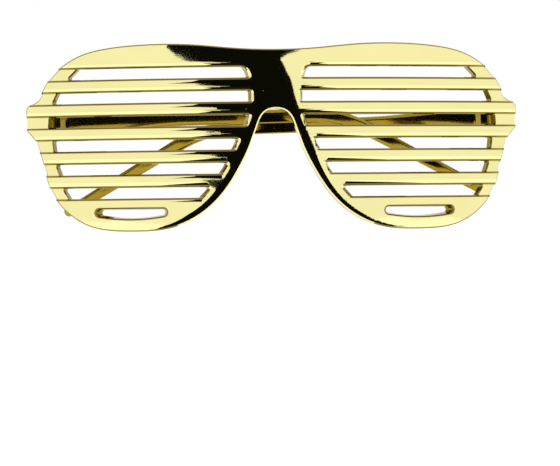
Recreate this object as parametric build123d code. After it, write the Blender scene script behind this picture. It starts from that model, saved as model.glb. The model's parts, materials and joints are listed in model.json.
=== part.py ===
from build123d import *
from math import asin, cos, degrees, radians, sin, sqrt, tan
import os

# Slatted novelty glasses, folded: one curved slatted front, two arms and two hinge screws.
# +X is the wearer's left, the front faces -Y, and the lens bottoms stand on Z = 0.
# Millimetres. The origin is the middle of the folded pair's foot.
os.makedirs("parts", exist_ok=True)

# Front: overall sizes
front_width = 150.4
front_height = 56.4
front_curve_radius = 175.0
front_thickness = 3.3
rim_step = 0.9
slat_bevel = 0.6
overrun = 3.0

# Front: half outline from the brow's middle round to the nose arch, shares of half width and height
brow_middle_share = (0.0, 0.966)
brow_shares = [(0.16, 0.974), (0.33, 0.995), (0.50, 1.0), (0.66, 0.985), (0.775, 0.950),
               (0.855, 0.890), (0.918, 0.800), (0.944, 0.732)]
ear_top_share = (0.959, 0.706)
ear_corner_shares = [(0.988, 0.684), (1.0, 0.664)]
ear_bottom_share = (0.998, 0.548)
cheek_top_share = (0.960, 0.490)
cheek_shares = [(0.944, 0.420), (0.922, 0.300), (0.878, 0.165), (0.790, 0.057)]
foot_share = (0.555, 0.0)
nose_rim_shares = [(0.405, 0.024), (0.300, 0.092), (0.225, 0.182), (0.160, 0.305), (0.112, 0.428)]
nose_leg_share = (0.070, 0.580)
arch_top_share = (0.0, 0.649)

# Front: the six long openings of a lens from the brow down, shares of height, and both ends of
# each at its top and bottom, shares of half width
first_slot_top_share = 0.8723
slot_height_share = 0.0567
slat_height_share = 0.0709
slot_inner_draft = 0.9
slot_corner_round = 0.5
brow_slot_corner_round = 2.2
slot_inner_shares = [(0.118, 0.102), (0.097, 0.096), (0.102, 0.118), (0.145, 0.166),
                     (0.188, 0.215), (0.255, 0.293)]
slot_outer_shares = [(0.793, 0.836), (0.876, 0.896), (0.908, 0.911), (0.895, 0.890),
                     (0.882, 0.867), (0.856, 0.830)]

# Front: the small opening low in each lens, flat above and bowed below, shares of half width and height
foot_slot_middle_share = 0.5824
foot_slot_length_share = 0.1995
foot_slot_top_share = 0.1090
foot_slot_end_height_share = 0.0142
foot_slot_bow = 0.8
foot_slot_end_bow = 0.9
foot_slot_taper = 0.4
foot_slot_end_taper = 1.4

# Hinges: place of the axis behind the front, and how far both axes lean so the folded arms stack
hinge_inset = 7.0
hinge_standoff = 3.57
hinge_height_share = 0.5913
hinge_lean = 1.3
lug_radius = 1.75
lug_height = 1.95
lug_root = 1.0
knuckle_radius = 1.6
knuckle_height = 2.8
knuckle_gap = 0.15
screw_radius = 0.65
screw_clearance = 0.05
screw_head_radius = 1.15
screw_head_height = 0.55
screw_head_recess = 0.7
screw_slot_width = 0.32
screw_slot_depth = 0.25
butt_reach = 1.8
butt_gap = 0.1
pad_margin = 1.1

# Arms: straight to the bend, then the ear hook, lengths as shares of the front's half width
arm_thickness = 3.0
arm_clearance = 0.2
arm_hinge_height = 6.9
arm_cheek_length = 7.0
arm_neck_share = 0.5585
arm_height = 4.1
arm_corner_share = 1.1835
hook_angle = 29.4
hook_bend_radius = 33.0
hook_length_share = 0.6715
hook_height = 3.5
hook_tip_height = 3.0
arm_outer_round = 0.9
arm_inner_bevel = 0.3
hinge_pocket_length = 3.5
hinge_pocket_ramp = 1.5

# Folded pair: the arm that lies outside stays this far short of fully folded
outer_arm_spare = 5.2

half_width = front_width / 2
first_slot_top = first_slot_top_share * front_height
slot_height = slot_height_share * front_height
slat_height = slat_height_share * front_height
foot_slot_middle = foot_slot_middle_share * half_width
foot_slot_length = foot_slot_length_share * half_width
foot_slot_top = foot_slot_top_share * front_height
foot_slot_end_height = foot_slot_end_height_share * front_height
front_sag = front_curve_radius - sqrt(front_curve_radius**2 - half_width**2)
cut_depths = (-overrun, front_sag + front_thickness + overrun)
arm_neck_at = arm_neck_share * half_width
arm_corner_at = arm_corner_share * half_width
hook_length = hook_length_share * half_width
eyes_height = knuckle_height + 2 * (knuckle_gap + lug_height)
hinge_x = half_width - hinge_inset
hinge_z = hinge_height_share * front_height


def back_depth(x):
    """Depth of the front's back face at a sideways place."""
    return front_curve_radius - sqrt((front_curve_radius - front_thickness)**2 - x**2)


hinge_y = back_depth(hinge_x) + hinge_standoff


def spread(x):
    """Sideways place, where the drawing plane touches the bridge, of a point on the curved face."""
    return front_curve_radius * x / sqrt(front_curve_radius**2 - x**2)


def outline_point(share):
    return (spread(share[0] * half_width), share[1] * front_height)


def radial_block(face):
    """Block through the whole front whose side walls all point at the curve's axis."""
    sections = []
    for depth in cut_depths:
        narrow = (front_curve_radius - depth) / front_curve_radius
        sections.append(Pos(0, depth, 0) * (Plane.XZ * scale(face, by=(narrow, 1, 1))))
    return loft(sections, ruled=True)


def inner_end_wedge(ends, side):
    """What stands at an opening's drafted inner end, which leans out into the opening towards the back."""
    sections = []
    for depth in cut_depths:
        draft = slot_inner_draft * depth / front_thickness
        points = [(side * (across + draft), height) for across, height in ends]
        points += [(0, height) for across, height in ends[::-1]]
        sections.append(Pos(0, depth, 0) * (Plane.XZ * make_face(Polyline(*points, close=True))))
    return loft(sections, ruled=True)


def ring(outer, inner, low, high):
    """Upright ring about the front's curve axis."""
    height = high - low
    middle = Pos(0, front_curve_radius, (low + high) / 2)
    return middle * (Cylinder(outer, height) - Cylinder(inner, height))


def half_outline():
    """Edges of the wearer's left half, from the brow's middle to the top of the nose arch."""
    ear_top, ear_bottom = outline_point(ear_top_share), outline_point(ear_bottom_share)
    corner = [outline_point(share) for share in ear_corner_shares]
    cheek_top, foot = outline_point(cheek_top_share), outline_point(foot_share)
    nose_leg, arch_top = outline_point(nose_leg_share), outline_point(arch_top_share)
    brow = [outline_point(share) for share in [brow_middle_share] + brow_shares] + [ear_top]
    cheek = [cheek_top] + [outline_point(share) for share in cheek_shares] + [foot]
    nose_rim = [foot] + [outline_point(share) for share in nose_rim_shares] + [nose_leg]
    leg_slope = (nose_leg[0] - nose_rim[-2][0], nose_leg[1] - nose_rim[-2][1])
    return [
        Spline(*brow, tangents=[(1, 0), (corner[0][0] - ear_top[0], corner[0][1] - ear_top[1])]),
        Line(ear_top, corner[0]),
        Line(corner[0], corner[1]),
        Line(corner[1], ear_bottom),
        Line(ear_bottom, cheek_top),
        Spline(*cheek, tangents=[(0, -1), (-1, 0)]),
        Spline(*nose_rim, tangents=[(-1, 0), leg_slope]),
        Spline(nose_leg, arch_top, tangents=[leg_slope, (-1, 0)]),
    ]


def outline_face():
    right = half_outline()
    left = [mirror(edge, about=Plane.YZ) for edge in right]
    return make_face(Wire([edge.edge() for edge in right + left]))


def slot_top(row):
    return first_slot_top - row * (slot_height + slat_height)


def slot_block(row, side):
    """One long opening of a lens: level above and below, with slanting ends."""
    top, bottom = slot_top(row), slot_top(row) - slot_height
    ends = []
    for at_top, at_bottom in (slot_inner_shares[row], slot_outer_shares[row]):
        slant = (at_top - at_bottom) * overrun / slot_height
        ends.append([((at_top + slant) * half_width, top + overrun),
                     ((at_bottom - slant) * half_width, bottom - overrun)])
    base = [(0, height) for across, height in ends[0]] + ends[1][::-1]
    points = [(side * spread(across), height) for across, height in base]
    outer, inner = front_curve_radius + overrun, front_curve_radius - front_thickness - overrun
    block = ring(outer, inner, bottom, top) & radial_block(make_face(Polyline(*points, close=True)))
    block -= inner_end_wedge(ends[0], side)
    corners = [edge for edge in block.edges() if abs(edge.length - outer + inner) < slot_height / 2]
    if row > 0:
        return fillet(corners, slot_corner_round)
    brow_corner = max(corners, key=lambda edge: (edge @ 0.5).Z - side * (edge @ 0.5).X)
    corners.remove(brow_corner)
    block = fillet(brow_corner, brow_slot_corner_round)
    corners = [edge for edge in block.edges() if abs(edge.length - outer + inner) < slot_height / 2
               and any((edge @ 0.5 - other @ 0.5).length < slot_height / 100 for other in corners)]
    return fillet(corners, slot_corner_round)


def foot_slot_face(tapers):
    """The small low opening, widened by that many tapers: flat top, rounded ends, bowed lower edge."""
    reach = foot_slot_length / 2 + tapers * foot_slot_end_taper
    top = foot_slot_end_height / 2 + tapers * foot_slot_taper
    end, bow = reach + foot_slot_end_bow, -top - foot_slot_bow
    edges = [
        Line((-reach, top), (reach, top)),
        ThreePointArc((reach, top), (end, 0), (reach, -top)),
        ThreePointArc((reach, -top), (0, bow), (-reach, -top)),
        ThreePointArc((-reach, -top), (-end, 0), (-reach, top)),
    ]
    return make_face(Wire([edge.edge() for edge in edges]))


def foot_slot(side):
    """Cut for the small low opening, square to the front there and narrowing towards the back."""
    turn = degrees(asin(side * foot_slot_middle / front_curve_radius))
    place = Pos(0, front_curve_radius, foot_slot_top - foot_slot_end_height / 2) * Rot(0, 0, turn)
    place = place * Pos(0, -front_curve_radius, 0)
    mouth, back = -front_thickness, 2 * front_thickness
    near = Pos(0, mouth, 0) * (Plane.XZ * foot_slot_face((back - mouth) / front_thickness))
    far = Pos(0, back, 0) * (Plane.XZ * foot_slot_face(0))
    return place * loft([near, far], ruled=True)


def rim_pocket(row, side):
    """Lowers the outer rim between two slats, so that the slats run out over it, proud."""
    start = min(slot_outer_shares[row]) * half_width - slot_height
    reach = half_width + overrun - start
    depth = front_sag + front_thickness + overrun
    top, bottom = slot_top(row), slot_top(row) - slot_height
    skin = ring(front_curve_radius + overrun, front_curve_radius - rim_step, bottom, top)
    return skin & Pos(side * (start + reach / 2), 0, (top + bottom) / 2) * Box(reach, 2 * depth, slot_height)


def foremost(front):
    """The front's foremost curved face."""
    return min(front.faces().filter_by(GeomType.CYLINDER), key=lambda face: face.bounding_box().min.Y)


def bevel_openings(front, rim):
    """Bevels the front edges of the slats and of the long openings' inner ends, but not the rim."""
    above_foot = foot_slot_top + slot_height / 2
    edges = [edge for edge in foremost(front).edges()
             if (edge @ 0.5).Z > above_foot and rim.distance_to(edge @ 0.5) > slat_bevel]
    return chamfer(edges, slat_bevel)


def hinge_place(side):
    """Frame of one hinge: its Z is the hinge axis."""
    return Pos(side * hinge_x, hinge_y, hinge_z) * Rot(0, -hinge_lean, 0)


def lug(low, high):
    """One fixed eye of the hinge, with its web back to the front."""
    reach = hinge_y - back_depth(hinge_x - lug_radius) + lug_root
    height, middle = high - low, (low + high) / 2
    eye = Pos(0, 0, middle) * Cylinder(lug_radius, height)
    web = Pos(0, -reach / 2, middle) * Box(2 * lug_radius, reach, height)
    return eye + web


def butt_pad(side):
    """Flat pad behind the end piece, on which the open arm's end stops."""
    near = lug_radius
    far = arm_clearance + arm_thickness + pad_margin
    depth = hinge_y - butt_reach - back_depth(hinge_x + near) + lug_root
    pad = Box(far - near, depth, eyes_height)
    return Pos(side * (near + far) / 2, -butt_reach - depth / 2, 0) * pad


def hinge_lugs(side):
    low = knuckle_height / 2 + knuckle_gap
    high = low + lug_height
    return hinge_place(side) * (lug(low, high) + lug(-high, -low) + butt_pad(side))


def hinge_bore(side):
    top = eyes_height / 2
    bore = Cylinder(screw_radius + screw_clearance, eyes_height + 2 * overrun)
    head = Pos(0, 0, top - screw_head_recess + overrun / 2)
    head = head * Cylinder(screw_head_radius + screw_clearance, overrun)
    return hinge_place(side) * (bore + head)


def front_slats():
    shell = ring(front_curve_radius, front_curve_radius - front_thickness, -overrun, front_height + overrun)
    front = shell & radial_block(outline_face())
    rim = foremost(front).outer_wire()
    for side in (1, -1):
        for row in range(len(slot_inner_shares)):
            front -= slot_block(row, side)
            front -= rim_pocket(row, side)
        front -= foot_slot(side)
    front = bevel_openings(front, rim)
    for side in (1, -1):
        front += hinge_lugs(side)
    for side in (1, -1):
        front -= hinge_bore(side)
    return front


def arm_profile():
    """Side view of an open arm, along its length and height from the hinge axis."""
    start = -butt_reach + butt_gap
    tall, slim, tip = arm_hinge_height / 2, arm_height / 2, hook_tip_height / 2
    turn = radians(hook_angle)
    bend_at = arm_corner_at - hook_bend_radius * tan(turn / 2)
    straight = hook_length - hook_bend_radius * tan(turn / 2)
    along, across = (cos(turn), -sin(turn)), (sin(turn), cos(turn))
    root = (bend_at + hook_bend_radius * sin(turn), hook_bend_radius * (cos(turn) - 1))

    def hook_point(distance, offset):
        return (root[0] + along[0] * distance + across[0] * offset,
                root[1] + along[1] * distance + across[1] * offset)

    def half(side):
        """Edge above (1) or below (-1) the middle line, from the hinge to the hook's tip."""
        cheek = (arm_cheek_length, side * tall)
        neck = (arm_neck_at, side * slim)
        between = ((cheek[0] + neck[0]) / 2, (cheek[1] + neck[1]) / 2)
        swell = hook_point(straight / 2, side * hook_height / 2)
        return [
            Line((start, side * tall), cheek),
            TangentArc(cheek, between, tangent=(1, 0)),
            TangentArc(neck, between, tangent=(-1, 0)),
            Line(neck, (bend_at, side * slim)),
            CenterArc((bend_at, -hook_bend_radius), hook_bend_radius + side * slim, 90, -hook_angle),
            Line(hook_point(0, side * slim), swell),
            Line(swell, hook_point(straight - tip, side * tip)),
        ]

    nose = ThreePointArc(hook_point(straight - tip, tip), hook_point(straight, 0),
                         hook_point(straight - tip, -tip))
    butt = Line((start, tall), (start, -tall))
    edges = half(1) + [nose] + half(-1) + [butt]
    return make_face(Wire([edge.edge() for edge in edges]))


def hinge_pocket():
    """Space on the arm's inner side that clears the fixed eyes, ending in a ramp."""
    depth = lug_radius + arm_clearance
    near = -butt_reach - overrun
    points = [(near, depth), (hinge_pocket_length, depth),
              (hinge_pocket_length + hinge_pocket_ramp, arm_clearance),
              (hinge_pocket_length + hinge_pocket_ramp, -overrun), (near, -overrun)]
    outline = make_face(Polyline(*[(across, along) for along, across in points], close=True))
    return extrude(outline, eyes_height, both=True)


def knuckle():
    """Moving eye of the hinge, with its web out to the arm."""
    web_depth = lug_radius + arm_clearance + arm_thickness / 4
    eye = Cylinder(knuckle_radius, knuckle_height)
    return eye + Pos(web_depth / 2, 0, 0) * Box(web_depth, 2 * knuckle_radius, knuckle_height)


def arm():
    """The wearer's left arm, open: along +Y from the hinge axis, outer side +X."""
    blade = Pos(arm_clearance, 0, 0) * extrude(Plane.YZ * arm_profile(), arm_thickness)
    outer = blade.faces().sort_by(Axis.X)[-1]
    blade = fillet(outer.edges(), arm_outer_round)
    inner = blade.faces().sort_by(Axis.X)[0]
    blade = chamfer(inner.edges(), arm_inner_bevel)
    bore = Cylinder(screw_radius + screw_clearance, 2 * eyes_height)
    return blade - hinge_pocket() + knuckle() - bore


def hinge_screw(side):
    """Pan screw that is the hinge pin: its head is sunk in the upper eye."""
    top = eyes_height / 2 - screw_head_recess
    shank_end = -eyes_height / 2 + screw_head_recess / 2
    head = Pos(0, 0, top + screw_head_height / 2) * Cylinder(screw_head_radius, screw_head_height)
    shank = Pos(0, 0, (top + shank_end) / 2) * Cylinder(screw_radius, top - shank_end)
    cut = Pos(0, 0, top + screw_head_height) * Box(3 * screw_head_radius, screw_slot_width,
                                                  2 * screw_slot_depth)
    return hinge_place(side) * (head + shank - cut)


left_arm = arm()
pieces = {
    "front_slats": front_slats(),
    "temple_left": hinge_place(1) * Rot(0, 0, 90 - outer_arm_spare) * left_arm,
    "temple_right": hinge_place(-1) * Rot(0, 0, -90) * mirror(left_arm, about=Plane.YZ),
    "hinge_screw_left": hinge_screw(1),
    "hinge_screw_right": hinge_screw(-1),
}

box = Compound(children=[piece.solid() for piece in pieces.values()]).bounding_box()
to_foot_middle = Pos(-box.center().X, -box.center().Y, -box.min.Z)
for name, piece in pieces.items():
    export_step(to_foot_middle * piece, f"parts/{name}.step")
print("moved by", to_foot_middle.position, "whole size", box.size)
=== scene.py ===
"""Slatted novelty glasses in mirror-bright gold, on a plain white studio floor."""

import json
import math

import bmesh
import bpy
from mathutils import Matrix, Vector

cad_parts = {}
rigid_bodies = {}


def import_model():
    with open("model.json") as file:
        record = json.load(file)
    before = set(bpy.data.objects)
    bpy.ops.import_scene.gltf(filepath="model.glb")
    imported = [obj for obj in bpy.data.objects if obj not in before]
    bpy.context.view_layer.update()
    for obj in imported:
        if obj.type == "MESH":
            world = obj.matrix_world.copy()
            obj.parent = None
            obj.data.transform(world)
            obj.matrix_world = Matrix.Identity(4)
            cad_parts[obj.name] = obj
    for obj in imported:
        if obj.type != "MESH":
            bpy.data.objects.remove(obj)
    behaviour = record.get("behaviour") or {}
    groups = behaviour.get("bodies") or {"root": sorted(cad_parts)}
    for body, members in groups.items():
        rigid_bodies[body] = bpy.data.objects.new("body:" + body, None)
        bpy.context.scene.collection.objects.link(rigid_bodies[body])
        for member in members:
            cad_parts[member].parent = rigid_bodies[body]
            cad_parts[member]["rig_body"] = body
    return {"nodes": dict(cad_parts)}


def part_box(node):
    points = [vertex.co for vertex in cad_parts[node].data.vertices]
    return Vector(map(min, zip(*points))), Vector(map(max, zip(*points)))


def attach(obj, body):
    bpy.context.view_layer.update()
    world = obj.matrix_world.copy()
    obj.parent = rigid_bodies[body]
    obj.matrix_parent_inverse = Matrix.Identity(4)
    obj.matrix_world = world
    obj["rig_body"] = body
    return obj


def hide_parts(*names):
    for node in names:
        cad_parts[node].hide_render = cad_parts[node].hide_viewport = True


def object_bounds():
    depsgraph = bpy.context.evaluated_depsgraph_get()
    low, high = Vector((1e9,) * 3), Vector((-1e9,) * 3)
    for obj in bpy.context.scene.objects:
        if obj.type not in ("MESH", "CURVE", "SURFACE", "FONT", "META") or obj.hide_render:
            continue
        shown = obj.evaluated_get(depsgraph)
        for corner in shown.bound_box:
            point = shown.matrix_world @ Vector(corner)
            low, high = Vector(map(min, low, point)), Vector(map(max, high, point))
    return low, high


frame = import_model()
cad_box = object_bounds()

bl_info = {
    "name": "Slatted Glasses",
    "version": (1, 0, 0),
    "blender": (4, 5, 0),
    "location": "View3D > Sidebar > Glasses",
    "description": "Finishes and stage for a folded pair of slatted novelty glasses",
    "category": "Object",
}

# Limits that tell the faces and edges of the CAD pieces apart
weld_distance = 1e-6
flat_angle = math.radians(0.05)
square_angle = math.radians(60)
curve_facing = 0.99
skin_facing = 0.9
bevel_facing = (0.6, 0.8)
slant_facing = (0.5, 0.85)
upright_facing = 0.45
inner_facing = 0.98
ramp_facing = (0.5, 0.8)
ramp_rise = 0.1
level_digits = 5

# Shares of a thickness or spacing: how far apart two places count as one, and a face may leave the curve
near_share = 0.01
chord_share = 0.03

# Power of a face's area by which the broad faces lead the shading
area_lead = 3

# Noise values between which the coatings' cloudy shades run, and the shift that keeps them off the ripples
cloud_low, cloud_high = 0.3, 0.7
cloud_shift = (0.3, 0.1, 0.7)


def between(value, limits):
    return limits[0] < value < limits[1]


class GlassesGold(bpy.types.PropertyGroup):
    """Colours and surface of the metallised gold plastic."""

    face_color: bpy.props.FloatVectorProperty(
        name="Face gold", description="Gold of the broad faces of the front",
        subtype="COLOR", size=4, min=0, max=1, default=(0.95, 0.88, 0.41, 1))
    # Painted shade: this deeper gold darkens the bevels and inner walls, standing in for the dark
    # surroundings that they mirror. It does not come from a thinner coating.
    painted_shade_wall_color: bpy.props.FloatVectorProperty(
        name="Wall gold", description="Deeper gold of bevels and inner walls, where the coating is thinner",
        subtype="COLOR", size=4, min=0, max=1, default=(0.27, 0.205, 0.03, 1))
    # Painted shade: the arm gold is darker than the front's gold, standing in for the shade that the folded
    # arms lie in behind the front.
    painted_shade_arm_color: bpy.props.FloatVectorProperty(
        name="Arm gold", description="Gold of the two arms",
        subtype="COLOR", size=4, min=0, max=1, default=(0.38, 0.275, 0.045, 1))
    roughness: bpy.props.FloatProperty(
        name="Roughness", description="Roughness of the clean gold",
        subtype="FACTOR", min=0, max=1, default=0.015)
    ripple_size: bpy.props.FloatProperty(
        name="Ripple size", description="Spacing of the moulding ripples that bend reflections",
        unit="LENGTH", min=0.001, default=0.011)
    ripple_height: bpy.props.FloatProperty(
        name="Ripple height", description="Height of the moulding ripples",
        unit="LENGTH", min=0, precision=6, default=0.000012)
    grain_size: bpy.props.FloatProperty(
        name="Grain size", description="Spacing of the fine orange peel of the coating",
        unit="LENGTH", min=0.0001, precision=5, default=0.0006)
    grain_height: bpy.props.FloatProperty(
        name="Grain height", description="Height of the fine orange peel",
        unit="LENGTH", min=0, precision=7, default=0.0000003)
    speck_size: bpy.props.FloatProperty(
        name="Speck spacing", description="Spacing of the dust specks under the coating",
        unit="LENGTH", min=0.0005, default=0.0042)
    speck_core: bpy.props.FloatProperty(
        name="Speck core", description="Size of a speck's rough middle, as a share of the spacing",
        subtype="FACTOR", min=0, max=1, default=0.02)
    speck_edge: bpy.props.FloatProperty(
        name="Speck edge", description="Size at which a speck ends, as a share of the spacing",
        subtype="FACTOR", min=0, max=1, default=0.05)
    speck_roughness: bpy.props.FloatProperty(
        name="Speck roughness", description="Roughness in the middle of a speck",
        subtype="FACTOR", min=0, max=1, default=0.35)
    cloud_size: bpy.props.FloatProperty(
        name="Cloud size", description="Spacing of the coating's cloudy shades",
        unit="LENGTH", min=0.001, default=0.022)
    cloud_shade: bpy.props.FloatProperty(
        name="Cloud shade", description="Brightness of the coating where it is a little thinner",
        subtype="FACTOR", min=0, max=1, default=0.94)


class GlassesFront(bpy.types.PropertyGroup):
    """Sizes of the slatted front that its finish follows."""

    sharp_angle: bpy.props.FloatProperty(
        name="Sharp angle", description="Angle from which the front's edges are hard",
        subtype="ANGLE", unit="ROTATION", min=0, default=math.radians(30))
    curve_radius: bpy.props.FloatProperty(
        name="Curve radius", description="Radius of the front's foremost curved face",
        unit="LENGTH", min=0.01, default=0.175)
    thickness: bpy.props.FloatProperty(
        name="Thickness", description="Thickness of the front",
        unit="LENGTH", min=0.0001, default=0.0033)
    grid_step: bpy.props.FloatProperty(
        name="Grid step", description="Spacing of the cuts that let the nose rim roll back",
        unit="LENGTH", min=0.0001, precision=5, default=0.0006)
    rim_bevel: bpy.props.FloatProperty(
        name="Rim bevel", description="Width of the small bevel along the front's outline",
        unit="LENGTH", min=0.00001, precision=5, default=0.0004)
    nose_reach: bpy.props.FloatProperty(
        name="Nose reach", description="How far sideways the nose rim's roll goes",
        unit="LENGTH", min=0, default=0.043)
    nose_height: bpy.props.FloatProperty(
        name="Nose height", description="Height up to which the nose rim rolls back",
        unit="LENGTH", min=0, default=0.0385)
    inner_reach: bpy.props.FloatProperty(
        name="Inner reach",
        description="How far sideways the openings' inner ends and the bright nose edge go",
        unit="LENGTH", min=0, default=0.03)
    foot_rise: bpy.props.FloatProperty(
        name="Foot rise", description="Height over which a rim beyond that reach belongs to a small opening",
        unit="LENGTH", min=0, default=0.003)
    grid_height: bpy.props.FloatProperty(
        name="Grid height", description="Height up to which the fine cuts go",
        unit="LENGTH", min=0, default=0.0515)
    column_step: bpy.props.FloatProperty(
        name="Column step", description="Spacing of the upright cuts across the slats",
        unit="LENGTH", min=0.001, default=0.006)
    ledge_length: bpy.props.FloatProperty(
        name="Ledge length", description="Shortest straight run of a slat's edge that gets a rounded margin",
        unit="LENGTH", min=0.0001, precision=5, default=0.0025)
    ledge_slack: bpy.props.FloatProperty(
        name="Ledge slack",
        description="Share of the margin up to which a place still belongs to the slat's edge",
        min=1, default=1.01)
    crown_width: bpy.props.FloatProperty(
        name="Crown width", description="Width of the slightly rounded margin along each slat",
        unit="LENGTH", min=0.0001, precision=5, default=0.0011)
    crown_slope: bpy.props.FloatProperty(
        name="Crown slope", description="Slope of a slat's rounded margin where its bevel starts",
        min=0, default=0.10)
    roll_width: bpy.props.FloatProperty(
        name="Roll width", description="Width of the nose rim's roll",
        unit="LENGTH", min=0.0001, precision=5, default=0.0026)
    roll_fade: bpy.props.FloatProperty(
        name="Roll fade", description="Share of the nose reach over which the roll narrows to nothing",
        subtype="FACTOR", min=0.01, max=1, default=0.38)
    roll_slope: bpy.props.FloatProperty(
        name="Roll slope", description="Slope of the nose rim's very edge beside the bridge",
        min=0, default=0.05)
    roll_slope_at_foot: bpy.props.FloatProperty(
        name="Roll slope at the foot", description="Slope of the nose rim's very edge at the foot",
        min=0, default=0.26)
    roll_slope_rate: bpy.props.FloatProperty(
        name="Roll slope rate", description="How fast the slope changes between the foot and the bridge",
        min=0, default=1.5)
    roll_rise: bpy.props.FloatProperty(
        name="Roll rise", description="How fast the roll reaches its full slope from its inner edge",
        min=1, default=2.2)
    roll_turn: bpy.props.FloatProperty(
        name="Roll turn", description="Most that the roll looks sideways where the rim runs level",
        min=1, default=6)
    rim_blend: bpy.props.IntProperty(
        name="Rim blend", description="How strongly the nearest stretch of the rim sets the roll's way",
        min=1, default=4)


class GlassesArms(bpy.types.PropertyGroup):
    """Surface of the arms, and shading of their flat sides."""

    sharp_angle: bpy.props.FloatProperty(
        name="Sharp angle", description="Angle from which the arms' edges are hard",
        subtype="ANGLE", unit="ROTATION", min=0, default=math.radians(47))
    margin: bpy.props.FloatProperty(
        name="Margin", description="Width of the rounded margin round the arms' inner sides",
        unit="LENGTH", min=0.0001, precision=5, default=0.0009)
    margin_slope: bpy.props.FloatProperty(
        name="Margin slope", description="Slope of that margin at its upper edge",
        min=0, default=0.22)
    lower_margin_share: bpy.props.FloatProperty(
        name="Lower margin share", description="Slope of the lower margin as a share of the upper one's",
        subtype="FACTOR", min=0, max=1, default=0.5)
    ripple_height: bpy.props.FloatProperty(
        name="Ripple height", description="Height of the arms' moulding ripples",
        unit="LENGTH", min=0, precision=6, default=0.00003)
    grain_height: bpy.props.FloatProperty(
        name="Grain height", description="Height of the arms' coarser orange peel",
        unit="LENGTH", min=0, precision=7, default=0.000004)
    roughness: bpy.props.FloatProperty(
        name="Roughness", description="Roughness of the arms' gold",
        subtype="FACTOR", min=0, max=1, default=0.09)
    inner_draft: bpy.props.FloatProperty(
        name="Inner draft", description="How far the arms' inner sides look down, as they leave the mould",
        subtype="ANGLE", unit="ROTATION", min=0, default=math.radians(3.9))
    ramp_turn: bpy.props.FloatProperty(
        name="Ramp turn", description="How far the worn ramp beside each hinge looks along the arm",
        subtype="ANGLE", unit="ROTATION", min=0, default=math.radians(20))


class GlassesSteel(bpy.types.PropertyGroup):
    """Colour and surface of the hinge screws."""

    sharp_angle: bpy.props.FloatProperty(
        name="Sharp angle", description="Angle from which the screws' edges are hard",
        subtype="ANGLE", unit="ROTATION", min=0, default=math.radians(40))
    color: bpy.props.FloatVectorProperty(
        name="Steel", description="Colour of the bare screw steel",
        subtype="COLOR", size=4, min=0, max=1, default=(0.56, 0.56, 0.58, 1))
    grain_size: bpy.props.FloatProperty(
        name="Grain size", description="Spacing of the fine grain that the turning left",
        unit="LENGTH", min=0.00001, precision=6, default=0.00012)
    grain_height: bpy.props.FloatProperty(
        name="Grain height", description="Height of that grain",
        unit="LENGTH", min=0, precision=7, default=0.000002)
    cloud_size: bpy.props.FloatProperty(
        name="Cloud size", description="Spacing of the steel's duller places",
        unit="LENGTH", min=0.00001, precision=6, default=0.00048)
    roughness_low: bpy.props.FloatProperty(
        name="Low roughness", description="Roughness of the steel's smoothest places",
        subtype="FACTOR", min=0, max=1, default=0.18)
    roughness_high: bpy.props.FloatProperty(
        name="High roughness", description="Roughness of the steel's dullest places",
        subtype="FACTOR", min=0, max=1, default=0.34)
    cloud_shade: bpy.props.FloatProperty(
        name="Cloud shade", description="Brightness of the steel's darker places",
        subtype="FACTOR", min=0, max=1, default=0.8)


class GlassesStage(bpy.types.PropertyGroup):
    """Camera, floor and light."""

    lens: bpy.props.FloatProperty(
        name="Lens", description="Focal length of the camera",
        unit="CAMERA", min=1, default=203.1)
    sensor_width: bpy.props.FloatProperty(
        name="Sensor width", description="Width of the camera's sensor",
        unit="CAMERA", min=1, default=36)
    clip_start: bpy.props.FloatProperty(
        name="Clip start", description="Distance from which the camera sees",
        unit="LENGTH", min=0.001, default=0.01)
    camera_place: bpy.props.FloatVectorProperty(
        name="Camera place", description="Where the camera stands",
        subtype="TRANSLATION", unit="LENGTH", size=3, default=(-0.0643, -0.9651, 0.004))
    aim: bpy.props.FloatVectorProperty(
        name="Aim", description="Point at the middle of the picture",
        subtype="TRANSLATION", unit="LENGTH", size=3, default=(0.00075, -0.0181, -0.00085))
    roll: bpy.props.FloatProperty(
        name="Roll", description="Turn of the camera about its own view",
        subtype="ANGLE", unit="ROTATION", default=math.radians(0.625))
    floor_size: bpy.props.FloatProperty(
        name="Floor size", description="Length of the floor's sides",
        unit="LENGTH", min=1, default=12.0)
    floor_color: bpy.props.FloatVectorProperty(
        name="Floor", description="Colour of the floor and of the far background",
        subtype="COLOR", size=4, min=0, max=1, default=(1, 1, 1, 1))
    floor_glow: bpy.props.FloatProperty(
        name="Floor white", description="Share of the floor's white that shadows can't darken",
        subtype="FACTOR", min=0, max=1, default=0.86)
    paint_gain: bpy.props.FloatProperty(
        name="Paint gain", description="Brightness of the floor's shadowed share against its even white",
        min=0, default=2)
    room_light: bpy.props.FloatProperty(
        name="Room light", description="Strength of the even light from all round",
        min=0, default=0.5)
    lamp_power: bpy.props.FloatProperty(
        name="Lamp power", description="Power of each soft box",
        unit="POWER", min=0, default=14)
    lamp_size: bpy.props.FloatProperty(
        name="Lamp size", description="Length of each soft box's sides",
        unit="LENGTH", min=0.1, default=1.2)
    flag_distance: bpy.props.FloatProperty(
        name="Flag distance", description="How far the dark flag round the lens stands from the glasses",
        unit="LENGTH", min=0.1, default=0.965)
    card_height: bpy.props.FloatProperty(
        name="Card height", description="Height of the dark floor card over the floor",
        unit="LENGTH", min=0, precision=5, default=0.0005)
    flag_color: bpy.props.FloatVectorProperty(
        name="Flag", description="Colour of the dark flag that the bridge mirrors",
        subtype="COLOR", size=4, min=0, max=1, default=(0.006, 0.006, 0.004, 1))


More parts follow.
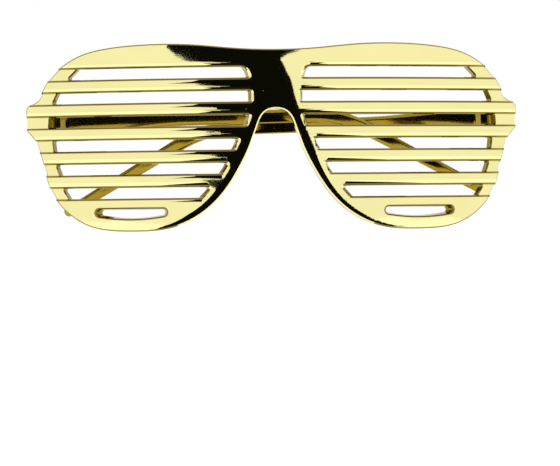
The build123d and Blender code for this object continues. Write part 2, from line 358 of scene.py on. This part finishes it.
def glow_share(tree, share, otherwise):
    """A number that is share for camera, glossy and transmission rays and otherwise for the rest."""
    path = tree.nodes.new("ShaderNodeLightPath")
    seen = path.outputs["Is Camera Ray"]
    for kind in ("Is Glossy Ray", "Is Transmission Ray"):
        either = tree.nodes.new("ShaderNodeMath")
        either.operation = "MAXIMUM"
        tree.links.new(seen, either.inputs[0])
        tree.links.new(path.outputs[kind], either.inputs[1])
        seen = either.outputs[0]
    choice = tree.nodes.new("ShaderNodeMapRange")
    choice.inputs["To Min"].default_value = otherwise
    choice.inputs["To Max"].default_value = share
    tree.links.new(seen, choice.inputs["Value"])
    return choice.outputs["Result"]


def object_noise(tree, spacing, detail, offset=(0, 0, 0)):
    """Noise on Object coordinates whose bumps lie about spacing apart."""
    coordinates = tree.nodes.new("ShaderNodeTexCoord")
    mapping = tree.nodes.new("ShaderNodeMapping")
    mapping.inputs["Location"].default_value = offset
    noise = tree.nodes.new("ShaderNodeTexNoise")
    noise.inputs["Scale"].default_value = 1 / spacing
    noise.inputs["Detail"].default_value = detail
    tree.links.new(coordinates.outputs["Object"], mapping.inputs["Vector"])
    tree.links.new(mapping.outputs["Vector"], noise.inputs["Vector"])
    return noise.outputs["Fac"]


def new_bump(tree, height, distance, under=None):
    """Bump of that height in metres, on top of the bump under it."""
    bump = tree.nodes.new("ShaderNodeBump")
    bump.inputs["Strength"].default_value = 1
    bump.inputs["Distance"].default_value = distance
    tree.links.new(height, bump.inputs["Height"])
    if under:
        tree.links.new(under, bump.inputs["Normal"])
    return bump.outputs["Normal"]


def new_ramp(tree, value, stops):
    """Colours along a value, as two (place, colour) stops."""
    ramp = tree.nodes.new("ShaderNodeValToRGB")
    for element, (place, color) in zip(ramp.color_ramp.elements, stops):
        element.position = place
        element.color = color
    tree.links.new(value, ramp.inputs["Fac"])
    return ramp.outputs["Color"]


def tinted(color, factor):
    return (color[0] * factor, color[1] * factor, color[2] * factor, 1)


def gold_material(name, color, settings, surface):
    """Metallised gold plastic: mirror-bright, with moulding ripples, orange peel and a few specks."""
    material = bpy.data.materials.new(name)
    material.use_nodes = True
    tree = material.node_tree
    shader = tree.nodes["Principled BSDF"]
    shader.inputs["Metallic"].default_value = 1
    cloud = object_noise(tree, settings.cloud_size, detail=2, offset=cloud_shift)
    tree.links.new(
        new_ramp(tree, cloud, [(cloud_low, tinted(color, settings.cloud_shade)), (cloud_high, color)]),
        shader.inputs["Base Color"])
    specks = tree.nodes.new("ShaderNodeTexVoronoi")
    coordinates = tree.nodes.new("ShaderNodeTexCoord")
    specks.inputs["Scale"].default_value = 1 / settings.speck_size
    tree.links.new(coordinates.outputs["Object"], specks.inputs["Vector"])
    rough = tree.nodes.new("ShaderNodeMapRange")
    rough.inputs["From Min"].default_value = settings.speck_core
    rough.inputs["From Max"].default_value = settings.speck_edge
    rough.inputs["To Min"].default_value = settings.speck_roughness
    rough.inputs["To Max"].default_value = surface.roughness
    tree.links.new(specks.outputs["Distance"], rough.inputs["Value"])
    tree.links.new(rough.outputs["Result"], shader.inputs["Roughness"])
    ripples = object_noise(tree, settings.ripple_size, detail=1)
    grain = object_noise(tree, settings.grain_size, detail=2)
    ripple_bump = new_bump(tree, ripples, surface.ripple_height)
    peel = new_bump(tree, grain, surface.grain_height, ripple_bump)
    tree.links.new(peel, shader.inputs["Normal"])
    return material


def steel_material(settings):
    """Bare screw steel with a fine grain and duller places."""
    material = bpy.data.materials.new("turned_screw_steel")
    material.use_nodes = True
    tree = material.node_tree
    shader = tree.nodes["Principled BSDF"]
    shader.inputs["Metallic"].default_value = 1
    cloud = object_noise(tree, settings.cloud_size, detail=3)
    tree.links.new(
        new_ramp(tree, cloud, [(cloud_low, tinted(settings.color, settings.cloud_shade)),
                               (cloud_high, settings.color)]),
        shader.inputs["Base Color"])
    rough = tree.nodes.new("ShaderNodeMapRange")
    rough.inputs["To Min"].default_value = settings.roughness_low
    rough.inputs["To Max"].default_value = settings.roughness_high
    tree.links.new(cloud, rough.inputs["Value"])
    tree.links.new(rough.outputs["Result"], shader.inputs["Roughness"])
    grain = object_noise(tree, settings.grain_size, detail=2)
    tree.links.new(new_bump(tree, grain, settings.grain_height), shader.inputs["Normal"])
    return material


def merged_copy(node, name, sharp_angle):
    """A smooth-shaded copy of a CAD piece, merged, with its hard edges marked sharp."""
    mesh = frame["nodes"][node].data.copy()
    mesh.name = name
    mesh.materials.clear()
    piece = bpy.data.objects.new(name, mesh)
    bpy.context.scene.collection.objects.link(piece)
    form = bmesh.new()
    form.from_mesh(mesh)
    bmesh.ops.remove_doubles(form, verts=form.verts, dist=weld_distance)
    bmesh.ops.dissolve_limit(
        form, angle_limit=flat_angle, use_dissolve_boundaries=False,
        verts=form.verts, edges=form.edges, delimit=set())
    for face in form.faces:
        face.smooth = True
    for edge in form.edges:
        edge.smooth = len(edge.link_faces) == 2 and edge.calc_face_angle() < sharp_angle
    form.to_mesh(mesh)
    form.free()
    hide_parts(node)
    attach(piece, frame["nodes"][node]["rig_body"])
    return piece


def even_normals(piece, sharp_angle, looks=None, edge_looks=None):
    """Lets the broad faces set the shading, so that bevels read as rounded edges."""
    form = bmesh.new()
    form.from_mesh(piece.data)
    looks = {face.index: face.normal.copy() for face in form.faces} | (looks or {})
    normals = []
    for face in form.faces:
        for loop in face.loops:
            near = [other for other in loop.vert.link_faces
                    if other.normal.angle(face.normal) < sharp_angle]
            pulls = (looks[other.index] * other.calc_area()**area_lead for other in near)
            even = sum(pulls, Vector()).normalized()
            at_edge = edge_looks and loop.vert.index in edge_looks
            if at_edge and face.normal.dot(even) > math.cos(sharp_angle):
                even = edge_looks[loop.vert.index]
            normals.append(even)
    form.free()
    piece.data.normals_split_custom_set(normals)


class FrontCurve:
    """The upright cylinder that the front's faces are bent round."""

    def __init__(self, settings):
        self.radius = settings.curve_radius
        self.middle_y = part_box("front_slats")[0].y + settings.curve_radius
        self.near = settings.thickness * near_share
        self.chord = settings.thickness * chord_share

    def outward(self, place):
        return Vector((place.x, place.y - self.middle_y, 0)).normalized()

    def depth(self, place):
        """Depth of a place under the foremost face."""
        return self.radius - math.hypot(place.x, place.y - self.middle_y)

    def follows(self, face):
        """1 if a face follows the curve and looks out, -1 if it looks in, and 0 for walls and bevels."""
        depths = [self.depth(vertex.co) for vertex in face.verts]
        if max(depths) - min(depths) > self.chord:
            return 0
        facing = face.normal.dot(self.outward(face.calc_center_median()))
        return round(facing) if abs(facing) > curve_facing else 0


def open_rims(form, curve):
    """Convex square edges of the front-facing curved faces: the outline and the openings' outer ends."""
    return [edge for edge in form.edges
            if len(edge.link_faces) == 2 and edge.is_convex and edge.calc_face_angle() > square_angle
            and sorted(curve.follows(face) for face in edge.link_faces) == [0, 1]]


def nose_rims(form, curve, settings):
    """Each edge of the rim round the nose, as its two ends and the way out of the material."""
    rims = []
    for edge in open_rims(form, curve):
        start, end = (vertex.co.copy() for vertex in edge.verts)
        middle = (start + end) / 2
        if abs(middle.x) > settings.nose_reach or middle.z > settings.nose_height:
            continue
        if abs(middle.x) > settings.inner_reach and middle.z > settings.foot_rise:
            continue
        face = next(face for face in edge.link_faces if curve.follows(face) == 1)
        out = (end - start).cross(curve.outward(middle)).normalized()
        if out.dot(middle - face.calc_center_median()) < 0:
            out = -out
        rims.append((start, end, out))
    return rims


def cut_skin(form, skin, place, direction, settings):
    """Cuts faces along a plane, and returns them with the new ones."""
    edges = {edge for face in skin for edge in face.edges}
    corners = {vertex for face in skin for vertex in face.verts}
    cut = bmesh.ops.bisect_plane(
        form, geom=skin + list(edges) + list(corners), dist=settings.grid_step * near_share,
        plane_co=place, plane_no=direction)
    return [part for part in cut["geom"] if isinstance(part, bmesh.types.BMFace)]


def cut_grid(form, curve, ledges, settings):
    """Cuts the foremost face into columns and margins along the slats, and finely round the nose."""
    step, column_step = settings.grid_step, settings.column_step
    skin = [face for face in form.faces
            if curve.follows(face) == 1 and curve.depth(face.verts[0].co) < curve.near]
    for height in sorted({level - way * settings.crown_width for level, way, near, far in ledges}):
        skin = cut_skin(form, skin, (0, 0, height), (0, 0, 1), settings)
    columns = round(abs(cad_box[0][0]) / column_step)
    for column in range(-columns, columns + 1):
        skin = cut_skin(form, skin, (column * column_step, 0, 0), (1, 0, 0), settings)
    reach, rise = settings.nose_reach, settings.grid_height
    skin = [face for face in skin
            if any(abs(vertex.co.x) < reach and vertex.co.z < rise for vertex in face.verts)]
    for column in range(-round(reach / step), round(reach / step) + 1):
        skin = cut_skin(form, skin, (column * step, 0, 0), (1, 0, 0), settings)
    for row in range(1, round(rise / step) + 1):
        skin = cut_skin(form, skin, (0, 0, row * step), (0, 0, 1), settings)


def slat_ledges(form, curve, settings):
    """Where the slats' faces end at their bevels: height, way to the bevel, and reach to each side."""
    reaches = {}
    for edge in form.edges:
        if len(edge.link_faces) < 2:
            continue
        bevel = min(edge.link_faces, key=curve.follows)
        if sorted(curve.follows(face) for face in edge.link_faces) != [0, 1]:
            continue
        if not between(abs(bevel.normal.z), bevel_facing):
            continue
        level = round((edge.verts[0].co.z + edge.verts[1].co.z) / 2, level_digits)
        way = round(bevel.normal.z)
        ends = [vertex.co.x for vertex in edge.verts]
        reaches.setdefault((level, way, ends[0] > 0), []).extend(ends)
    return [(level, way, min(ends), max(ends)) for (level, way, right), ends in reaches.items()
            if max(ends) - min(ends) > settings.ledge_length]


def nearest_rim(place, rims, sizes):
    """Distance from a place to the nearest rim edge, and the way out of the material there."""
    nearest, out = math.inf, Vector()
    for start, end, way in rims:
        along = end - start
        share = min(1, max(0, (place - start).dot(along) / along.length_squared))
        distance = (place - start - along * share).length
        nearest = min(nearest, distance)
        out += way / (distance + sizes.grid_step)**sizes.rim_blend
    return nearest, out.normalized()


class GLASSES_OT_slatted_front(bpy.types.Operator):
    """Finish the curved slatted front in bright gold, with a deeper gold painted on bevels and walls as shade
    """

    bl_idname = "glasses.slatted_front"
    bl_label = "Slatted Front"

    def execute(self, context):
        gold, sizes = context.scene.glasses_gold, context.scene.glasses_front
        piece = merged_copy("front_slats", "slatted_front", sizes.sharp_angle)
        piece.data.materials.append(gold_material("bright_face_gold", gold.face_color, gold, gold))
        # Second slot: deeper gold painted on bevels and walls as shade
        piece.data.materials.append(gold_material("painted_shade_wall_gold", gold.painted_shade_wall_color, gold, gold))
        curve = FrontCurve(sizes)
        form = bmesh.new()
        form.from_mesh(piece.data)
        rims = nose_rims(form, curve, sizes)
        ledges = slat_ledges(form, curve, sizes)
        bmesh.ops.bevel(
            form, geom=open_rims(form, curve), offset=sizes.rim_bevel, offset_type="OFFSET", segments=1,
            profile=0.5, affect="EDGES", clamp_overlap=False, material=-1)
        cut_grid(form, curve, ledges, sizes)
        rolled = self.roll_nose_rim(form, curve, rims, sizes)
        normals = []
        for face in form.faces:
            face.smooth = True
            middle = face.calc_center_median()
            follows = curve.follows(face)
            if not follows and any(vertex in rolled for vertex in face.verts):
                follows = int(face.normal.dot(curve.outward(middle)) > skin_facing)
            # Faces off the front's curve get the second slot's painted shade. Faces on the curve, and the
            # bright edges by the nose and the openings' inner ends, keep the face gold.
            bright_edge = (
                between(face.normal.dot(curve.outward(middle)), slant_facing)
                and abs(middle.x) < sizes.inner_reach
                and (abs(face.normal.z) < upright_facing
                     or nearest_rim(middle, rims, sizes)[0] < sizes.grid_step))
            face.material_index = 0 if follows or bright_edge else 1
            for loop in face.loops:
                normals.append(self.corner_normal(loop, follows, curve, ledges, rolled, sizes))
        form.to_mesh(piece.data)
        form.free()
        piece.data.normals_split_custom_set(normals)
        return {"FINISHED"}

    def roll_nose_rim(self, form, curve, rims, sizes):
        """Bends the rim round the nose back, and returns each bent vertex with its new normal."""
        rolled = {}
        skin = {vertex for face in form.faces if curve.follows(face) == 1 for vertex in face.verts
                if curve.depth(vertex.co) < curve.near}
        for vertex in skin:
            place = vertex.co
            if abs(place.x) > sizes.nose_reach or place.z > sizes.nose_height:
                continue
            distance, out = nearest_rim(place, rims, sizes)
            share = 1 - abs(place.x) / sizes.nose_reach
            width = sizes.roll_width * min(1, share / sizes.roll_fade)
            settled = min(1, sizes.roll_slope_rate * share)
            slope = sizes.roll_slope_at_foot + (sizes.roll_slope - sizes.roll_slope_at_foot) * settled
            if distance < width:
                outward = curve.outward(place)
                bend = slope * min(1, sizes.roll_rise * (1 - distance / width))
                sideways = Vector((out.x, out.y, 0)) / max(abs(out.x), 1 / sizes.roll_turn)
                rolled[vertex] = (outward + sideways * bend).normalized()
                vertex.co = place - outward * (bend * (width - distance) / 2)
        return rolled

    def crowned(self, place, curve, ledges, sizes):
        """Shading normal of a place on the foremost face, turned a little up or down beside a ledge."""
        normal = curve.outward(place)
        for level, way, near, far in ledges:
            share = 1 - (level - place.z) * way / sizes.crown_width
            if 0 < share < sizes.ledge_slack and near - curve.near < place.x < far + curve.near:
                normal += Vector((0, 0, way * share * sizes.crown_slope))
        return normal.normalized()

    def corner_normal(self, loop, follows, curve, ledges, rolled, sizes):
        """Shading normal of one corner: along the curve on faces, and turning round on bevels."""
        face, vertex = loop.face, loop.vert
        if vertex in rolled and follows == 1:
            return rolled[vertex]
        outward = curve.outward(vertex.co)
        if follows == 1 and curve.depth(vertex.co) < curve.near:
            return self.crowned(vertex.co, curve, ledges, sizes)
        if follows:
            return outward * follows
        if not between(face.normal.dot(outward), bevel_facing):
            return Vector()
        if curve.depth(vertex.co) < curve.near:
            return self.crowned(vertex.co, curve, ledges, sizes)
        return (face.normal * math.sqrt(2) - outward).normalized()


class GLASSES_OT_folding_arms(bpy.types.Operator):
    """Finish both folding arms in gold, darkened as painted shade"""

    bl_idname = "glasses.folding_arms"
    bl_label = "Folding Arms"

    def execute(self, context):
        gold, arms = context.scene.glasses_gold, context.scene.glasses_arms
        # The arms' darker gold is painted shade.
        material = gold_material("painted_shade_arm_gold", gold.painted_shade_arm_color, gold, arms)
        for node, name in (("temple_left", "left_arm_shell"), ("temple_right", "right_arm_shell")):
            piece = merged_copy(node, name, arms.sharp_angle)
            piece.data.materials.append(material)
            looks, edge_looks = self.round_inner_side(piece.data, arms)
            even_normals(piece, arms.sharp_angle, looks, edge_looks)
        return {"FINISHED"}

    def round_inner_side(self, mesh, arms):
        """Insets a folded arm's inner side, and returns shading normals for its faces and its edge."""
        form = bmesh.new()
        form.from_mesh(mesh)
        inner_sides = [face for face in form.faces if face.normal.y < -inner_facing]
        inner = max(inner_sides, key=lambda face: face.calc_area())
        edge = list(inner.verts)
        middle = sum((vertex.co for vertex in edge), Vector()) / len(edge)
        bmesh.ops.inset_individual(form, faces=[inner], thickness=arms.margin, use_even_offset=True)
        form.verts.index_update()
        form.faces.index_update()
        draft = Vector((0, 0, -math.tan(arms.inner_draft)))
        looks, edge_looks = {}, {}
        for face in form.faces:
            if face.normal.y < -inner_facing:
                looks[face.index] = (face.normal + draft).normalized()
            elif between(-face.normal.y, ramp_facing) and abs(face.normal.z) < ramp_rise:
                along = -math.copysign(math.tan(arms.ramp_turn), face.calc_center_median().x)
                looks[face.index] = Vector((along, -1, 0)).normalized()
        for vertex in edge:
            inside = max(vertex.link_edges, key=lambda link: sum(
                face.normal.y < -inner_facing for face in link.link_faces)).other_vert(vertex)
            out = vertex.co - inside.co
            way = math.copysign(1, out.z) if abs(out.z) > arms.margin / 2 else 0
            slope = way * arms.margin_slope * (arms.lower_margin_share if way < 0 else 1)
            edge_looks[vertex.index] = (Vector((0, -1, slope)) + draft).normalized()
        form.to_mesh(mesh)
        form.free()
        return looks, edge_looks


class GLASSES_OT_hinge_screws(bpy.types.Operator):
    """Finish the two hinge screws in turned steel"""

    bl_idname = "glasses.hinge_screws"
    bl_label = "Hinge Screws"

    def execute(self, context):
        steel = context.scene.glasses_steel
        material = steel_material(steel)
        for node, name in (("hinge_screw_left", "left_pin_screw"), ("hinge_screw_right", "right_pin_screw")):
            piece = merged_copy(node, name, steel.sharp_angle)
            piece.data.materials.append(material)
            even_normals(piece, steel.sharp_angle)
        return {"FINISHED"}


def flat_card(name, corners, material):
    """A flat stage card through those corners."""
    mesh = bpy.data.meshes.new(name)
    form = bmesh.new()
    form.faces.new([form.verts.new(corner) for corner in corners])
    form.to_mesh(mesh)
    form.free()
    card = bpy.data.objects.new(name, mesh)
    mesh.materials.append(material)
    bpy.context.scene.collection.objects.link(card)
    return card


def floor_material(settings):
    """White floor: part plain paint that takes shadows, part even white."""
    material = bpy.data.materials.new("white_floor")
    material.use_nodes = True
    tree = material.node_tree
    tree.nodes.remove(tree.nodes["Principled BSDF"])
    paint = tree.nodes.new("ShaderNodeBsdfDiffuse")
    paint_share = settings.paint_gain * (1 - settings.floor_glow)
    paint.inputs["Color"].default_value = tinted(settings.floor_color, paint_share)
    white = tree.nodes.new("ShaderNodeEmission")
    white.inputs["Color"].default_value = settings.floor_color
    tree.links.new(glow_share(tree, settings.floor_glow, 0), white.inputs["Strength"])
    both = tree.nodes.new("ShaderNodeAddShader")
    tree.links.new(paint.outputs["BSDF"], both.inputs[0])
    tree.links.new(white.outputs["Emission"], both.inputs[1])
    tree.links.new(both.outputs["Shader"], tree.nodes["Material Output"].inputs["Surface"])
    return material


def flag_material(settings):
    """Dull black cloth of the flag."""
    material = bpy.data.materials.new("black_flag_cloth")
    material.use_nodes = True
    shader = material.node_tree.nodes["Principled BSDF"]
    shader.inputs["Base Color"].default_value = settings.flag_color
    shader.inputs["Roughness"].default_value = 1
    shader.inputs["Specular IOR Level"].default_value = 0
    return material


def soft_box(name, place, aim, settings):
    """A square soft box that shines on the aim."""
    lamp = bpy.data.lights.new(name, "AREA")
    lamp.shape = "SQUARE"
    lamp.size = settings.lamp_size
    lamp.energy = settings.lamp_power
    box = bpy.data.objects.new(name, lamp)
    box.location = place
    box.rotation_mode = "QUATERNION"
    box.rotation_quaternion = (Vector(aim) - Vector(place)).to_track_quat("-Z", "Y")
    box.visible_glossy = False
    bpy.context.scene.collection.objects.link(box)


class GLASSES_OT_studio_stage(bpy.types.Operator):
    """Set up the floor, the dark flag, the soft light and the camera"""

    bl_idname = "glasses.studio_stage"
    bl_label = "Studio Stage"

    # Edge of the dark flag: direction seen from the bridge, in degrees to +X, and height in metres
    flag_edge = [(-12.5, 0.4), (-15.5, 0.2), (-19.7, 0.125), (-21.4, 0.1104), (-19.2, 0.1047),
                 (-16.4, 0.1014), (-14.1, 0.0991), (-13.3, 0.0932), (-14.8, 0.0871), (-12.8, 0.0853),
                 (-10.4, 0.0838),
                 (-12.2, 0.0792), (-13.9, 0.0737), (-12.2, 0.0712), (-9.8, 0.0697), (-11.3, 0.0639),
                 (-12.6, 0.0578), (-11.3, 0.0567), (-9, 0.0553), (-10.9, 0.0498), (-13.5, 0.0443),
                 (-11.7, 0.0428), (-10, 0.0416), (-6.5, 0.0345), (-7.8, 0.0284), (-11, 0.0266),
                 (-14.4, 0.0247), (-12.4, 0.0235), (-9.1, 0.0211), (-9, -0.002), (10.3, -0.002), (13, 0.0429),
                 (11, 0.0581), (9.2, 0.0712), (8.1, 0.0794), (7.1, 0.0896), (5.7, 0.0972),
                 (5, 0.1006), (7.2, 0.1027), (9.5, 0.1055), (11.5, 0.112), (7, 0.125), (6, 0.4)]

    # Dark card on the floor that the slats' lower edges and the arms mirror: corners seen from above
    card_corners = [(-0.06, -0.07), (0.09, -0.07), (0.09, -0.16), (0.115, -0.45), (0.165, -0.62),
                    (0.265, -0.98), (-0.225, -0.98), (-0.14, -0.62), (-0.095, -0.45), (-0.065, -0.16)]

    soft_boxes = {"left_soft_box": (-1.2, -1.0, 1.1), "right_soft_box": (1.2, -1.0, 1.1),
                  "top_soft_box": (0, 0.5, 1.6)}

    def execute(self, context):
        stage = context.scene.glasses_stage
        half = stage.floor_size / 2
        flat_card("studio_floor", [(-half, -half, 0), (half, -half, 0), (half, half, 0), (-half, half, 0)],
                  floor_material(stage))
        corners = []
        for turn, height in self.flag_edge:
            aside = stage.flag_distance * math.tan(math.radians(turn))
            corners.append((aside, stage.aim[1] - stage.flag_distance, height))
        cloth = flag_material(stage)
        cards = [flat_card("lens_flag", corners, cloth),
                 flat_card("floor_flag", [(x, y, stage.card_height) for x, y in self.card_corners], cloth)]
        for card in cards:
            card.visible_camera = False
            card.visible_shadow = False
            card.visible_diffuse = False
        for name, place in self.soft_boxes.items():
            soft_box(name, place, stage.aim, stage)
        world = bpy.data.worlds.new("white_room")
        world.use_nodes = True
        background = world.node_tree.nodes["Background"]
        background.inputs["Color"].default_value = stage.floor_color
        world.node_tree.links.new(
            glow_share(world.node_tree, 1, stage.room_light), background.inputs["Strength"])
        context.scene.world = world
        camera = bpy.data.objects.new("camera", bpy.data.cameras.new("camera"))
        camera.data.lens = stage.lens
        camera.data.sensor_width = stage.sensor_width
        camera.data.clip_start = stage.clip_start
        view = (Vector(stage.aim) - Vector(stage.camera_place)).to_track_quat("-Z", "Y").to_matrix()
        camera.matrix_world = (
            Matrix.Translation(stage.camera_place) @ (view @ Matrix.Rotation(-stage.roll, 3, "Z")).to_4x4())
        context.scene.collection.objects.link(camera)
        context.scene.camera = camera
        context.scene.view_settings.view_transform = "Standard"
        return {"FINISHED"}


class GLASSES_PT_sidebar(bpy.types.Panel):
    """Lists the pieces and the stage."""

    bl_idname = "GLASSES_PT_sidebar"
    bl_label = "Slatted Glasses"
    bl_space_type = "VIEW_3D"
    bl_region_type = "UI"
    bl_category = "Glasses"

    def draw(self, context):
        for operator in piece_operators:
            self.layout.operator(operator.bl_idname)
        for name in settings_groups:
            box = self.layout.box()
            settings = getattr(context.scene, name)
            for field in settings.__annotations__:
                box.prop(settings, field)


settings_groups = {"glasses_gold": GlassesGold, "glasses_front": GlassesFront, "glasses_arms": GlassesArms,
                   "glasses_steel": GlassesSteel, "glasses_stage": GlassesStage}
piece_operators = [GLASSES_OT_slatted_front, GLASSES_OT_folding_arms, GLASSES_OT_hinge_screws,
                   GLASSES_OT_studio_stage]


def register():
    for group in settings_groups.values():
        bpy.utils.register_class(group)
    for name, group in settings_groups.items():
        setattr(bpy.types.Scene, name, bpy.props.PointerProperty(type=group))
    for operator in piece_operators:
        bpy.utils.register_class(operator)
    bpy.utils.register_class(GLASSES_PT_sidebar)


def unregister():
    bpy.utils.unregister_class(GLASSES_PT_sidebar)
    for operator in reversed(piece_operators):
        bpy.utils.unregister_class(operator)
    for name in settings_groups:
        delattr(bpy.types.Scene, name)
    for group in settings_groups.values():
        bpy.utils.unregister_class(group)


def main():
    register()
    bpy.ops.glasses.slatted_front()
    bpy.ops.glasses.folding_arms()
    bpy.ops.glasses.hinge_screws()
    bpy.ops.glasses.studio_stage()


if __name__ == "__main__":
    main()
